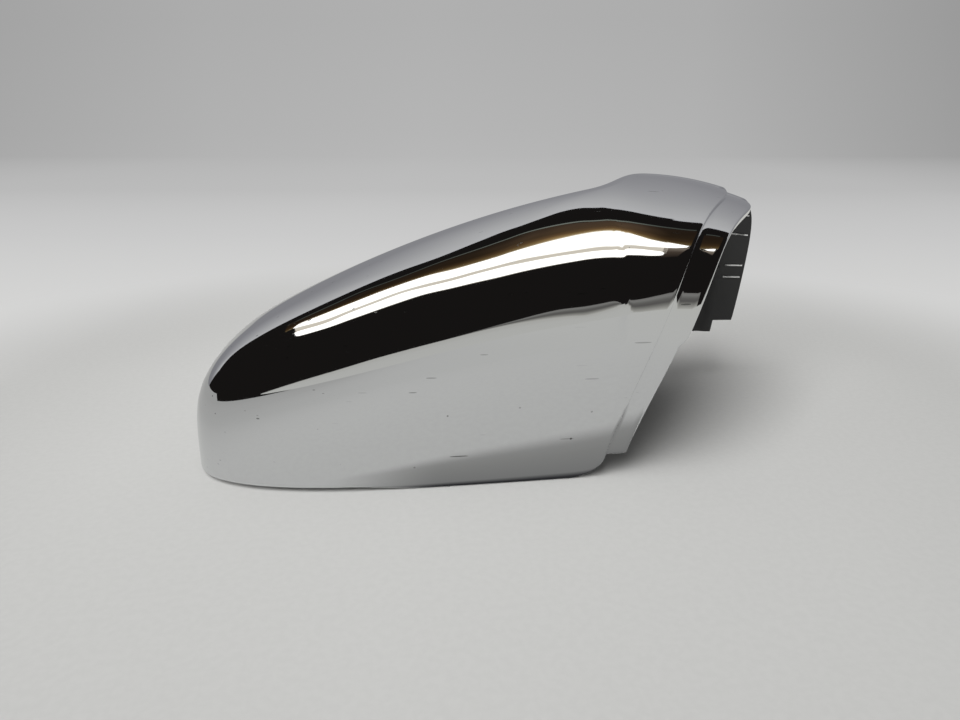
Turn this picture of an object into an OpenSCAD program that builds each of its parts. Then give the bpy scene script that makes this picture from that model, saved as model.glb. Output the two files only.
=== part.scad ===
/* [Overall size] */
// Length from the rounded tip to the end of the locating flange
cover_length = 240.5; // [210:0.5:270]
// Width across the open side at its widest, rim to rim
cover_width = 101; // [90:0.5:115]
// How much narrower the open side is at the mouth than at its widest
width_taper = 12; // [0:0.5:25]
// Wall thickness of the moulding
wall = 2.5; // [2:0.1:3.5]

/* [Crown line] */
// Height that the crown line starts from above the tip, before the tip is rounded
crown_start_h = 41.8; // [30:0.1:60]
// Height of the crown at the middle of the length
crown_middle_h = 92.8; // [75:0.1:105]
// Height that the crown line would reach at the mouth without its roll-off
crown_end_h = 105.4; // [95:0.1:120]
// Distance of the crown line from the front rim line
crown_in = 32.2; // [20:0.2:45]
// Height of the raised shoulder beside the mouth
shoulder_h = 0.9; // [0:0.1:8]
// Distance of the shoulder's foot from the tip
shoulder_start = 146.5; // [135:0.5:165]
// Length over which the shoulder grows
shoulder_run = 38.0; // [20:0.5:65]
// How far the crown line moves back over the shoulder
shoulder_in = 34.8; // [0:0.2:55]
// How much squarer the shoulder makes the crown
shoulder_square = 1.7; // [0:0.1:4]
// How much squarer the shoulder makes the front wall
shoulder_wall_square = -1.0; // [-1.5:0.1:2]
// Drop of the crown where it rolls over into the mouth
roll_drop = 13.6; // [5:0.2:25]
// Length of that roll
roll_run = 74.5; // [30:0.5:90]

/* [Section form] */
// Squareness of the crown's front half at the tip, the middle and the mouth: 2 is an ellipse
crown_square = [3.15, 2.1, 4.1]; // [2:0.05:5.5]
// Squareness of the front wall at the same three places
wall_square = [2.2, 3.55, 2.2]; // [2:0.05:5]
// Squareness of the rear half of the section
rear_square = 2.3; // [2:0.05:4]
// Outward lean of the front wall, in mm for each mm of height
front_lean = 0.2; // [0:0.005:0.3]
// How much more the front wall leans at the mouth than at the tip
front_lean_more = 0.17; // [0:0.005:0.25]
// Outward lean of the rear wall, in mm for each mm of height
rear_lean = 0.06; // [0:0.005:0.3]
// Inward bow of the front rim at its ends
front_bow = 2; // [0:0.1:5]

/* [Rounded tip] */
// Length of the tip's rounding seen from above
tip_plan_len = 77; // [50:1:100]
// Squareness of that rounding
tip_plan_square = 2.65; // [2:0.05:3.5]
// Length of the tip's rounding seen from the side
tip_side_len = 45.5; // [30:0.5:75]
// Squareness of that rounding
tip_side_square = 4.1; // [2:0.05:5]
// Distance of the tip's point from the front rim line
tip_in = 33.3; // [25:0.1:60]
// Rise of the rim at the tip above the plane of the open side
tip_rise = 1.6; // [0:0.1:5]

/* [Mouth and locating flange] */
// Distance of the mouth's front lower corner from its rear edge, along the length
mouth_set_back = 80; // [60:1:100]
// How far the mouth's edge leans inboard up the front wall
mouth_wall_run = 22.5; // [15:0.1:40]
// Distance of the mouth's edge at the crown from its rear edge
mouth_crown_back = 13.6; // [5:0.1:35]
// How late the mouth's edge turns from the front wall over the crown
mouth_crown_bend = 1.9; // [1:0.05:3]
// Distance of the rear edge from the mouth's furthest point, without the flange
mouth_rear_back = 5; // [0:0.1:8]
// Bulge of the mouth's edge on the rear wall
mouth_rear_bulge = 10.6; // [0:0.1:18]
// Width of the locating flange over its lower front part
flange_low_w = 8.4; // [5:0.1:10]
// Width of the locating flange elsewhere
flange_w = 10; // [6:0.1:14]
// Height of the notch between the two widths, as a share of the section
flange_notch_at = 0.5; // [0.3:0.01:0.7]
// Depth of the step from the outer skin down to the flange
flange_step = 1.6; // [0.8:0.1:2.5]
// Thickness of the flange
flange_t = 2.2; // [1.5:0.1:3.5]
// Height of the rounded front lower corner of the mouth
corner_h = 9; // [5:0.5:15]
// Length of that corner
corner_len = 13; // [8:0.5:20]
// Rise of the rear rim where it meets the mouth
rear_rim_rise = 27; // [10:0.5:40]
// Distance of the foot of that rise from the tip
rear_rise_start = 148; // [120:1:160]
// Length of that rise
rear_rise_run = 75; // [40:1:80]
// How much higher the flange ends than the rear rim
flange_end_up = 5.5; // [2:0.5:10]

/* [Fastening inside] */
// Thickness of the cross ribs under the crown
rib_t = 1.8; // [1.2:0.1:3]
// Depth of the cross ribs below the inner skin
rib_h = 5; // [3:0.5:10]
// Distances of the cross ribs from the tip
rib_places = [60, 112]; // [40:1:140]
// Width of each snap clip
clip_w = 14; // [8:0.5:20]
// Thickness of a clip's tongue and arm
clip_t = 2.2; // [1.5:0.1:3]
// Narrowest gap between the wall and a clip's tongue
clip_gap = 5; // [5:0.5:10]
// Length of a clip's tongue
clip_len = 20; // [14:0.5:30]
// How far a clip's barb stands out from its tongue
clip_barb = 2; // [1:0.1:3]
// Height of the clips' lower ends above the open side
clip_foot = 9; // [4:0.5:15]
// Distances of the front and rear clips from the tip
clip_places = [72, 124]; // [50:1:140]
// Outer diameter of the screw bosses under the crown
boss_d = 9; // [7:0.5:14]
// Diameter of the blind pilot hole in each boss
boss_hole_d = 3.4; // [2:0.1:5]
// Depth of the pilot hole
boss_hole_depth = 14; // [8:0.5:20]
// Height of the bosses' lower faces above the open side
boss_foot = 56; // [45:0.5:65]
// Distances of the bosses from the tip
boss_places = [86, 138]; // [70:1:150]
// Distance of the bosses from the front rim line
boss_in = 45; // [35:1:60]
// How much wider a boss flares where it meets the crown
boss_flare = 1.5; // [0.5:0.1:3]
// Length of that flare below the crown
boss_flare_len = 5; // [3:0.5:10]
// Heights of the short ribs that stiffen the rear wall at the mouth
rear_rib_places = [57, 66, 77]; // [45:1:85]
// Length of those ribs
rear_rib_len = 20; // [10:1:30]
// How far those ribs stand off the inner skin
rear_rib_h = 2.5; // [1.5:0.1:4]

/* [Mesh] */
// Steps along the rounded tip
tip_steps = 15; // [8:1:18]
// Steps along the body
body_steps = 24; // [16:1:28]
// Steps around the section
around_steps = 52; // [32:2:60]

/* [Hidden] */
chrome = [0.78, 0.79, 0.8];
$fn = 48;
// How far an inner feature reaches into the wall that carries it
bite = wall / 2;
// Length over which the notch in the flange steps from one width to the other
notch_run = 0.06;
// Length of the step between outer skin and flange
step_run = 0.4;
// Bevel on the flange's free edge
edge_bevel = 0.5;
// Squareness of the curve that the mouth's edge follows, on the front and on the rear half
mouth_front_square = 3;
mouth_rear_square = 2.6;
rear_joggle_x = cover_length - flange_w - mouth_rear_back;
front_joggle_x = rear_joggle_x - mouth_set_back;
crown_joggle_x = rear_joggle_x - mouth_crown_back;
ring_count = tip_steps + body_steps + 3;

// Smooth step from 0 to 1, with no kink in slope or curvature
function ease(t) = let (u = max(0, min(1, t))) u * u * u * (u * (6 * u - 15) + 10);

// Quarter of a rounded corner: 0 at its start, 1 where it has ended
function corner(t, square) = let (u = max(0, min(1, t))) pow(1 - pow(1 - u, square), 1 / square);

// Angle of a point around the section: 0 at the front rim, 90 at the crown, 180 at the rear rim
function spread(v) = 90 * pow(v, 1.5) / (pow(v, 1.5) + pow(1 - v, 1.5));
function around(j) =
    let (u = 2 * j / around_steps)
    u <= 1 ? spread(u) : 180 - spread(2 - u);

// Curve through three values at t 0, 0.5 and 1
function through(t, v) = v[0] * (1 - t) * (1 - 2 * t) + v[1] * 4 * t * (1 - t) + v[2] * t * (2 * t - 1);

// How far the raised shoulder has grown at x, from 0 to 1
function shoulder(x) = ease((x - shoulder_start) / shoulder_run);

// Squareness of the section at x: of its crown side and of its wall side
function crown_square_at(x, a) =
    a < 90 ? through(x / cover_length, crown_square) + shoulder_square * shoulder(x) : rear_square;
function wall_square_at(x, a) =
    a < 90 ? through(x / cover_length, wall_square) + shoulder_wall_square * shoulder(x) : rear_square;

// Share of the half width and of the height that the section reaches at x and an angle
function out_at(x, a) = pow(abs(cos(a)), 2 / crown_square_at(x, a));
function up_at(x, a) = pow(abs(sin(a)), 2 / wall_square_at(x, a));

// The same two shares as the mouth's edge follows them
function mouth_square_at(a) = a < 90 ? mouth_front_square : mouth_rear_square;
function mouth_out_at(a) = pow(abs(cos(a)), 2 / mouth_square_at(a));
function mouth_up_at(a) = pow(abs(sin(a)), 2 / mouth_square_at(a));

// Where the outer skin ends and the step down to the flange begins
function joggle_x(a) =
    let (out = mouth_out_at(a), up = mouth_up_at(a))
    a < 90
    ? front_joggle_x + mouth_wall_run * up
        + (crown_joggle_x - front_joggle_x - mouth_wall_run) * pow(1 - out, mouth_crown_bend)
    : crown_joggle_x + mouth_crown_back * out + mouth_rear_bulge * up * out;
function flange_width(a) =
    let (share = a < 90 ? mouth_up_at(a) : 1)
    flange_low_w + (flange_w - flange_low_w) * ease((share - flange_notch_at) / notch_run);

// Crown height before the tip is rounded
function crown_h(x) = through(x / cover_length, [crown_start_h, crown_middle_h, crown_end_h]);

// Height of the rim above the plane of the open side
function front_rim(x) =
    let (t = max(0, min(1, (x - front_joggle_x + corner_len) / corner_len)))
    tip_rise * (1 - ease((x - 53) / 30)) + corner_h * (1 - sqrt(1 - t * t));
function rear_rim(x, on_flange) =
    tip_rise * (1 - ease(x / 40)) + rear_rim_rise * ease((x - rear_rise_start) / rear_rise_run)
        + on_flange * flange_end_up;

// A point of the skin at distance x from the tip and angle a, moved in by inset
function skin(x, a, inset, on_flange = 0) =
    let (
        from_tip = x - inset,
        plan = corner(from_tip / tip_plan_len, tip_plan_square),
        side = corner(from_tip / tip_side_len, tip_side_square),
        share = x / cover_length,
        front_y = inset + front_bow * pow((x - cover_length / 2) / 100, 2),
        rear_y = cover_width - inset - width_taper * share * share,
        mid_y = tip_in + (crown_in + shoulder_in * shoulder(x) - tip_in) * plan,
        front_half = mid_y - tip_in - (front_y - tip_in) * plan,
        rear_half = tip_in + (rear_y - tip_in) * plan - mid_y,
        out = out_at(x, a),
        up = up_at(x, a),
        blend = (1 + cos(a)) / 2,
        rim = front_rim(x) * blend + rear_rim(x, on_flange) * (1 - blend),
        top = (crown_h(x) - inset) * side,
        base_z = rim * (1 - up * side) + top * up,
        roll = max(0, (x - joggle_x(a) - flange_w + roll_run) / roll_run),
        raise = shoulder_h * shoulder(x) - roll_drop * roll * roll,
        z = base_z + raise * up * up * up,
        lean = a < 90 ? front_lean + front_lean_more * share : rear_lean,
        half = (a < 90 ? front_half : rear_half) + lean * base_z * plan
    )
    [x, a < 90 ? mid_y - half * out : mid_y + half * out, z];

// Stations along the skin, from the tip to the joggle
function body_x(i, a, inset, end) =
    i <= tip_steps
    ? inset + tip_plan_len * (1 - cos(90 * i / tip_steps))
    : inset + tip_plan_len + (end - inset - tip_plan_len) * (i - tip_steps) / body_steps;

function outer_point(i, a) =
    let (last = i - tip_steps - body_steps, end = joggle_x(a))
    last <= 0 ? skin(body_x(i, a, 0, end), a, 0)
    : last == 1 ? skin(end + step_run, a, flange_step, 1)
    : last == 2 ? skin(end + flange_width(a) - edge_bevel, a, flange_step, 1)
    : skin(end + flange_width(a), a, flange_step + edge_bevel, 1);

function inner_point(i, a) =
    let (last = i - tip_steps - body_steps, end = joggle_x(a), deep = flange_step + flange_t)
    last <= 0 ? skin(body_x(i, a, wall, end - wall), a, wall)
    : last == 1 ? skin(end - bite / 2, a, deep, 1)
    : last == 2 ? skin(end + flange_width(a) - edge_bevel, a, deep, 1)
    : skin(end + flange_width(a), a, deep - edge_bevel, 1);

row = around_steps + 1;
inner_start = 1 + ring_count * row;
outer_points = [for (i = [1:ring_count]) for (j = [0:around_steps]) outer_point(i, around(j))];
inner_points = [for (i = [1:ring_count]) for (j = [0:around_steps]) inner_point(i, around(j))];
shell_points = concat([[0, tip_in, tip_rise]], outer_points, [[wall, tip_in, tip_rise]], inner_points);

function outer_at(i, j) = i == 0 ? 0 : 1 + (i - 1) * row + j;
function inner_at(i, j) = i == 0 ? inner_start : inner_start + 1 + (i - 1) * row + j;

// Two triangles for a quad, or one where two of its corners are the same point
function quad(p, q, r, s) =
    p == q ? [[p, r, s]] : p == s ? [[p, q, r]] : [[p, q, r], [p, r, s]];

outer_faces = [
    for (i = [0:ring_count - 1]) for (j = [0:around_steps - 1])
        for (f = quad(outer_at(i, j), outer_at(i, j + 1), outer_at(i + 1, j + 1), outer_at(i + 1, j))) f
];
inner_faces = [
    for (i = [0:ring_count - 1]) for (j = [0:around_steps - 1])
        for (f = quad(inner_at(i, j + 1), inner_at(i, j), inner_at(i + 1, j), inner_at(i + 1, j + 1))) f
];
front_rim_faces = [
    for (i = [0:ring_count - 1])
        for (f = quad(outer_at(i, 0), outer_at(i + 1, 0), inner_at(i + 1, 0), inner_at(i, 0))) f
];
rear_rim_faces = [
    for (i = [0:ring_count - 1])
        for (f = quad(outer_at(i + 1, around_steps), outer_at(i, around_steps),
                inner_at(i, around_steps), inner_at(i + 1, around_steps))) f
];
mouth_faces = [
    for (j = [0:around_steps - 1])
        for (f = quad(outer_at(ring_count, j), outer_at(ring_count, j + 1),
                inner_at(ring_count, j + 1), inner_at(ring_count, j))) f
];

// The part's origin is under the middle of its own box
x_all = [for (p = shell_points) p.x];
y_all = [for (p = shell_points) p.y];
middle = [(min(x_all) + max(x_all)) / 2, (min(y_all) + max(y_all)) / 2, 0];

// The moulding itself: skin, rim, step and flange in one closed surface
module shell() {
    polyhedron(
        points = shell_points,
        faces = concat(outer_faces, inner_faces, front_rim_faces, rear_rim_faces, mouth_faces),
        convexity = 6
    );
}

// A rib across the inside, following the section at distance x from the tip
module cross_rib(x) {
    low = 8;
    rim_side = [for (j = [low:around_steps - low]) skin(x, around(j), bite)];
    free_side = [for (j = [around_steps - low:-1:low]) skin(x, around(j), wall + rib_h)];
    outline = [for (p = concat(rim_side, free_side)) [p.y, p.z]];
    translate([x - rib_t / 2, 0, 0])
        rotate([90, 0, 90])
            linear_extrude(rib_t) polygon(outline);
}

// Angle at which the outer skin reaches height z at distance x from the tip, found by halving
function angle_at(x, z, rear, low = 0, high = 90, steps = 20) =
    let (
        half = (low + high) / 2,
        a = rear ? 180 - half : half
    )
    steps == 0 ? a
    : skin(x, a, 0).z < z ? angle_at(x, z, rear, half, high, steps - 1)
    : angle_at(x, z, rear, low, half, steps - 1);

// A snap clip: an arm off the wall and a tongue that ends in a barb
module clip(x, rear) {
    arm_z = clip_foot + clip_len;
    anchor = skin(x, angle_at(x, arm_z, rear), 0);
    foot = skin(x, angle_at(x, clip_foot, rear), 0);
    reach = wall + clip_gap + max(0, rear ? anchor.y - foot.y : foot.y - anchor.y);
    back = reach + clip_t;
    outline = [
        [bite, arm_z - clip_t], [reach, arm_z - clip_t], [reach, clip_foot], [back, clip_foot],
        [back + clip_barb, clip_foot + clip_barb], [back, clip_foot + 2 * clip_barb],
        [back, arm_z], [bite, arm_z]
    ];
    translate([x - clip_w / 2, anchor.y, 0])
        mirror([0, rear ? 1 : 0, 0])
            rotate([90, 0, 90])
                linear_extrude(clip_w) polygon(outline);
}

// Height of the middle of the wall over a point of the crown's rear half
function crown_over(x, y) =
    let (
        mid_y = crown_in + shoulder_in * shoulder(x),
        share = x / cover_length,
        wide = cover_width - bite - width_taper * share * share - mid_y + rear_lean * crown_h(x),
        out = max(0, min(1, (y - mid_y) / wide))
    )
    skin(x, 180 - acos(pow(out, rear_square / 2)), bite).z;

// A round screw boss that hangs from the crown and flares out where it meets it
module boss(x) {
    sides = 24;
    turns = [for (i = [0:sides - 1]) 360 * i / sides];
    root_r = boss_d / 2 + boss_flare;
    root = [for (t = turns) [x + root_r * cos(t), boss_in + root_r * sin(t)]];
    root_top = [for (p = root) [p.x, p.y, crown_over(p.x, p.y)]];
    low_z = min([for (p = root_top) p.z]) - boss_flare_len;
    neck = [for (t = turns) [x + boss_d / 2 * cos(t), boss_in + boss_d / 2 * sin(t), low_z]];
    translate([x, boss_in, boss_foot]) cylinder(h = low_z + bite - boss_foot, d = boss_d);
    polyhedron(
        points = concat(neck, root_top, [[x, boss_in, low_z], [x, boss_in, crown_over(x, boss_in)]]),
        faces = concat(
            [for (i = [0:sides - 1]) [i, (i + 1) % sides, 2 * sides]],
            [for (i = [0:sides - 1]) [i, sides + i, (i + 1) % sides]],
            [for (i = [0:sides - 1]) [sides + i, sides + (i + 1) % sides, (i + 1) % sides]],
            [for (i = [0:sides - 1]) [sides + (i + 1) % sides, sides + i, 2 * sides + 1]]
        ),
        convexity = 4
    );
}

module boss_hole(x) {
    translate([x, boss_in, boss_foot - 1]) cylinder(h = boss_hole_depth + 1, d = boss_hole_d);
}

// A short rib along the rear wall behind the flange
module rear_rib(z) {
    end_x = joggle_x(angle_at(rear_joggle_x, z, true)) - wall;
    start_x = end_x - rear_rib_len;
    end = skin(end_x, angle_at(end_x, z, true), wall);
    start = skin(start_x, angle_at(start_x, z, true), wall);
    outline = [
        [start.x, start.y - rear_rib_h], [end.x, end.y - rear_rib_h],
        [end.x, end.y + bite], [start.x, start.y + bite]
    ];
    translate([0, 0, z]) linear_extrude(rib_t) polygon(outline);
}

module mirror_cover() {
    color(chrome)
    translate(-middle)
    difference() {
        union() {
            shell();
            for (x = rib_places) cross_rib(x);
            for (x = clip_places) {
                clip(x, false);
                clip(x, true);
            }
            for (x = boss_places) boss(x);
            for (z = rear_rib_places) rear_rib(z);
        }
        for (x = boss_places) boss_hole(x);
    }
}

mirror_cover();
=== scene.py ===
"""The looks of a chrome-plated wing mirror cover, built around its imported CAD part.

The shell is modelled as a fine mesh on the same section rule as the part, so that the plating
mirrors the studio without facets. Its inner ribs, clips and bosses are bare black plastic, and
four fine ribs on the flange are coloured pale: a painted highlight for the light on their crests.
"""

import logging
import math
from dataclasses import dataclass
from enum import Enum
from typing import Callable

import bpy
import numpy as np
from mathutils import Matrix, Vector

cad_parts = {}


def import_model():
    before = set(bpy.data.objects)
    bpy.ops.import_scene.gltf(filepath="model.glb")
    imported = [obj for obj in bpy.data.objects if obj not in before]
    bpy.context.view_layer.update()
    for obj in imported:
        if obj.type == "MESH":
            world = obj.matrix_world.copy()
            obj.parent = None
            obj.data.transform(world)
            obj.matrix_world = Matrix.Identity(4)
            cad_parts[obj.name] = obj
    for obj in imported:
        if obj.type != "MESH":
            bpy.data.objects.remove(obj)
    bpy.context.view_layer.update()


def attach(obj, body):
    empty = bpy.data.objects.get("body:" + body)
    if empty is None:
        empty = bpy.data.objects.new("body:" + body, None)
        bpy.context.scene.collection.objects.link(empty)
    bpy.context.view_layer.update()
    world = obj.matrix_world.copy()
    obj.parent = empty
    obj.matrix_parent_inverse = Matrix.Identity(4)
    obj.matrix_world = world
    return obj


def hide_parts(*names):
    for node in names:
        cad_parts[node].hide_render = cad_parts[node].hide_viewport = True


LOG = logging.getLogger("mirror_cover")
MM = 0.001
NODE = "mirror_cover"
BODY = "root"
# The shell is this much smaller than the part's box, so that no rounding takes it outside
SNUG = 0.9996
# Points closer than this to a place, in metres, count as being there
NEAR = 0.0003
# A face looks along an axis where its normal's share of that axis is over this
FACING = 0.9
# Edges flatter than this are shaded smooth
SMOOTH_ANGLE = math.radians(40)


def linear(hex_colour: str) -> tuple[float, float, float, float]:
    """Turn an sRGB hex colour into Blender's linear RGBA.

    Args:
        hex_colour: six hex digits, such as "c8c9cb".

    Returns:
        The linear colour with an alpha of 1.
    """
    parts = [int(hex_colour[i : i + 2], 16) / 255 for i in (0, 2, 4)]
    lit = [c / 12.92 if c <= 0.04045 else ((c + 0.055) / 1.055) ** 2.4 for c in parts]
    return (lit[0], lit[1], lit[2], 1.0)


def ease(t: np.ndarray | float) -> np.ndarray:
    """Smooth step from 0 to 1 with no kink in slope or curvature."""
    u = np.clip(t, 0.0, 1.0)
    return u * u * u * (u * (6 * u - 15) + 10)


def corner(t: np.ndarray | float, square: float) -> np.ndarray:
    """Quarter of a rounded corner: 0 at its start, 1 where it has ended."""
    u = np.clip(t, 0.0, 1.0)
    return (1 - (1 - u) ** square) ** (1 / square)


def through(t: np.ndarray | float, start: float, middle: float, end: float) -> np.ndarray:
    """Curve through three values at t 0, 0.5 and 1."""
    return start * (1 - t) * (1 - 2 * t) + middle * 4 * t * (1 - t) + end * t * (2 * t - 1)


@dataclass(frozen=True)
class CoverForm:
    """The cover's driving sizes in millimetres, as in the part, and its section rule."""

    length: float = 240.5
    width: float = 101.0
    width_taper: float = 12.0
    wall: float = 2.5
    crown_start_h: float = 41.8
    crown_middle_h: float = 92.8
    crown_end_h: float = 105.4
    crown_in: float = 32.2
    crown_square: tuple[float, float, float] = (3.15, 2.1, 4.1)
    wall_square: tuple[float, float, float] = (2.2, 3.55, 2.2)
    rear_square: float = 2.3
    front_lean: float = 0.2
    front_lean_more: float = 0.17
    rear_lean: float = 0.06
    front_bow: float = 2.0
    shoulder_h: float = 0.9
    shoulder_start: float = 146.5
    shoulder_run: float = 38.0
    shoulder_in: float = 34.8
    shoulder_square: float = 1.7
    shoulder_wall: float = -1.0
    roll_drop: float = 13.6
    roll_run: float = 74.5
    tip_plan_len: float = 77.0
    tip_plan_square: float = 2.65
    tip_side_len: float = 45.5
    tip_side_square: float = 4.1
    tip_in: float = 33.3
    tip_rise: float = 1.6
    mouth_set_back: float = 80.0
    mouth_wall_run: float = 22.5
    mouth_crown_back: float = 13.6
    mouth_crown_bend: float = 1.9
    mouth_rear_bulge: float = 10.6
    mouth_rear_back: float = 5.0
    flange_low_w: float = 8.4
    flange_w: float = 10.0
    flange_notch_at: float = 0.5
    notch_run: float = 0.06
    flange_step: float = 1.6
    flange_t: float = 2.2
    corner_h: float = 9.0
    corner_len: float = 13.0
    rear_rim_rise: float = 27.0
    rear_rise_start: float = 148.0
    rear_rise_run: float = 75.0
    flange_end_up: float = 5.5
    mouth_front_square: float = 3.0
    mouth_rear_square: float = 2.6
    bow_half: float = 100.0
    front_rise_start: float = 53.0
    front_rise_run: float = 30.0
    rear_tip_run: float = 40.0
    rim_share: float = 0.3

    @property
    def rear_joggle(self) -> float:
        """Where the skin ends on the rear wall."""
        return self.length - self.flange_w - self.mouth_rear_back

    @property
    def front_joggle(self) -> float:
        """Where the skin ends at the front rim."""
        return self.rear_joggle - self.mouth_set_back

    @property
    def crown_joggle(self) -> float:
        """Where the skin ends on the crown."""
        return self.rear_joggle - self.mouth_crown_back

    def angle_at(self, x: float, z: float, rear: bool) -> float:
        """Angle at which the outer skin reaches a height, found by halving.

        Args:
            x: distance from the tip.
            z: height above the plane of the open side.
            rear: True for the rear wall and False for the front wall.

        Returns:
            The angle around the section, in radians.
        """
        low, high = 0.0, math.pi / 2
        for _ in range(30):
            half = (low + high) / 2
            a = math.pi - half if rear else half
            if self.skin(np.array([x]), np.array([a]), 0.0)[0, 2] < z:
                low = half
            else:
                high = half
        return a

    def at(self, x: float, a: float, inset: float) -> np.ndarray:
        """One point of the skin at x and angle a, moved in by inset."""
        return self.skin(np.array([x]), np.array([a]), inset)[0]

    def crown_over(self, x: float, y: float, inset: float) -> float:
        """Height of the crown's rear half over a point.

        Args:
            x: the point's distance from the tip.
            y: its distance from the front rim line.
            inset: how far inside the outer skin the height is taken.

        Returns:
            The height in millimetres.
        """
        mid_y = self.crown_in + self.shoulder_in * float(self.shoulder(x))
        rear_y = self.width - inset - self.width_taper * (x / self.length) ** 2
        wide = rear_y - mid_y + self.rear_lean * float(self.crown_h(x))
        out = min(1.0, max(0.0, (y - mid_y) / wide))
        return float(self.at(x, math.pi - math.acos(out ** (self.rear_square / 2)), inset)[2])

    def rise_angle(self, x: float, rise: np.ndarray, rear: bool) -> np.ndarray:
        """Angles at which the skin is a little above its rim.

        Args:
            x: distance from the tip.
            rise: heights above the rim.
            rear: True for the rear rim and False for the front rim.

        Returns:
            The angles from that rim, in radians.
        """
        side = corner(x / self.tip_side_len, self.tip_side_square)
        rim = self.rear_rim(x, 0.0) if rear else self.front_rim(x)
        square = self.rear_square
        if not rear:
            square = through(x / self.length, *self.wall_square)
            square = square + self.shoulder_wall * self.shoulder(x)
        tall = max(1e-6, float((self.crown_h(x) - rim) * side))
        share = np.minimum(rise / tall, self.rim_share * rise / rise.max())
        return np.arcsin(share ** (square / 2))

    def mouth_shares(self, a: np.ndarray) -> tuple[np.ndarray, np.ndarray]:
        """Shares of the half width and of the height at angle a, as the mouth line uses them."""
        square = np.where(a < math.pi / 2, self.mouth_front_square, self.mouth_rear_square)
        return np.abs(np.cos(a)) ** (2 / square), np.abs(np.sin(a)) ** (2 / square)

    def shares(self, x: np.ndarray, a: np.ndarray) -> tuple[np.ndarray, np.ndarray]:
        """Shares of the half width and of the height that the section reaches at x and angle a."""
        t = x / self.length
        more = self.shoulder(x)
        crown = through(t, *self.crown_square) + self.shoulder_square * more
        side = through(t, *self.wall_square) + self.shoulder_wall * more
        front = a < math.pi / 2
        out = np.abs(np.cos(a)) ** (2 / np.where(front, crown, self.rear_square))
        return out, np.abs(np.sin(a)) ** (2 / np.where(front, side, self.rear_square))

    def shoulder(self, x: np.ndarray) -> np.ndarray:
        """How far the raised shoulder has grown at x, from 0 to 1."""
        return ease((x - self.shoulder_start) / self.shoulder_run)

    def joggle_x(self, a: np.ndarray) -> np.ndarray:
        """Distance from the tip at which the skin steps down to the flange, for angle a."""
        out, up = self.mouth_shares(a)
        rest = self.crown_joggle - self.front_joggle - self.mouth_wall_run
        bend = (1 - out) ** self.mouth_crown_bend
        front = self.front_joggle + self.mouth_wall_run * up + rest * bend
        rear = self.crown_joggle + self.mouth_crown_back * out + self.mouth_rear_bulge * up * out
        return np.where(a < math.pi / 2, front, rear)

    def flange_width(self, a: np.ndarray) -> np.ndarray:
        """Width of the locating flange along the length, for angle a."""
        share = np.where(a < math.pi / 2, self.mouth_shares(a)[1], 1.0)
        more = ease((share - self.flange_notch_at) / self.notch_run)
        return self.flange_low_w + (self.flange_w - self.flange_low_w) * more

    def crown_h(self, x: np.ndarray) -> np.ndarray:
        """Height of the crown before the tip is rounded."""
        return through(x / self.length, self.crown_start_h, self.crown_middle_h, self.crown_end_h)

    def front_rim(self, x: np.ndarray) -> np.ndarray:
        """Height of the front rim above the plane of the open side."""
        t = np.clip((x - self.front_joggle + self.corner_len) / self.corner_len, 0, 1)
        rise = self.tip_rise * (1 - ease((x - self.front_rise_start) / self.front_rise_run))
        return rise + self.corner_h * (1 - np.sqrt(1 - t * t))

    def rear_rim(self, x: np.ndarray, on_flange: np.ndarray | float) -> np.ndarray:
        """Height of the rear rim above the plane of the open side."""
        rise = self.tip_rise * (1 - ease(x / self.rear_tip_run))
        sweep = self.rear_rim_rise * ease((x - self.rear_rise_start) / self.rear_rise_run)
        return rise + sweep + on_flange * self.flange_end_up

    def skin(
        self, x: np.ndarray, a: np.ndarray, inset: np.ndarray | float, on_flange: np.ndarray | float = 0.0
    ) -> np.ndarray:
        """Points of the skin.

        Args:
            x: distances from the tip.
            a: angles around the section in radians, 0 at the front rim and pi at the rear rim.
            inset: how far the points lie inside the outer skin.
            on_flange: 1 on the locating flange and 0 elsewhere.

        Returns:
            An array of points in millimetres, with its last axis x, y and z.
        """
        from_tip = x - inset
        plan = corner(from_tip / self.tip_plan_len, self.tip_plan_square)
        side = corner(from_tip / self.tip_side_len, self.tip_side_square)
        share = x / self.length
        front_y = inset + self.front_bow * ((x - self.length / 2) / self.bow_half) ** 2
        rear_y = self.width - inset - self.width_taper * share * share
        crown_in = self.crown_in + self.shoulder_in * self.shoulder(x)
        mid_y = self.tip_in + (crown_in - self.tip_in) * plan
        front_half = mid_y - self.tip_in - (front_y - self.tip_in) * plan
        rear_half = self.tip_in + (rear_y - self.tip_in) * plan - mid_y
        out, up = self.shares(x, a)
        blend = (1 + np.cos(a)) / 2
        rim = self.front_rim(x) * blend + self.rear_rim(x, on_flange) * (1 - blend)
        top = (self.crown_h(x) - inset) * side
        base_z = rim * (1 - up * side) + top * up
        past = (x - self.joggle_x(a) - self.flange_w + self.roll_run) / self.roll_run
        roll = np.maximum(0, past)
        rise = self.shoulder_h * self.shoulder(x)
        z = base_z + (rise - self.roll_drop * roll * roll) * up**3
        front = a < math.pi / 2
        lean = np.where(front, self.front_lean + self.front_lean_more * share, self.rear_lean)
        half = np.where(front, front_half, rear_half) + lean * base_z * plan
        y = np.where(front, mid_y - half * out, mid_y + half * out)
        return np.stack([x + 0 * z, y, z], axis=-1)


class Slot(Enum):
    """The record's material slots."""

    PLATE = "chrome_plate"
    BARE = "bare_inside"


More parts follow.
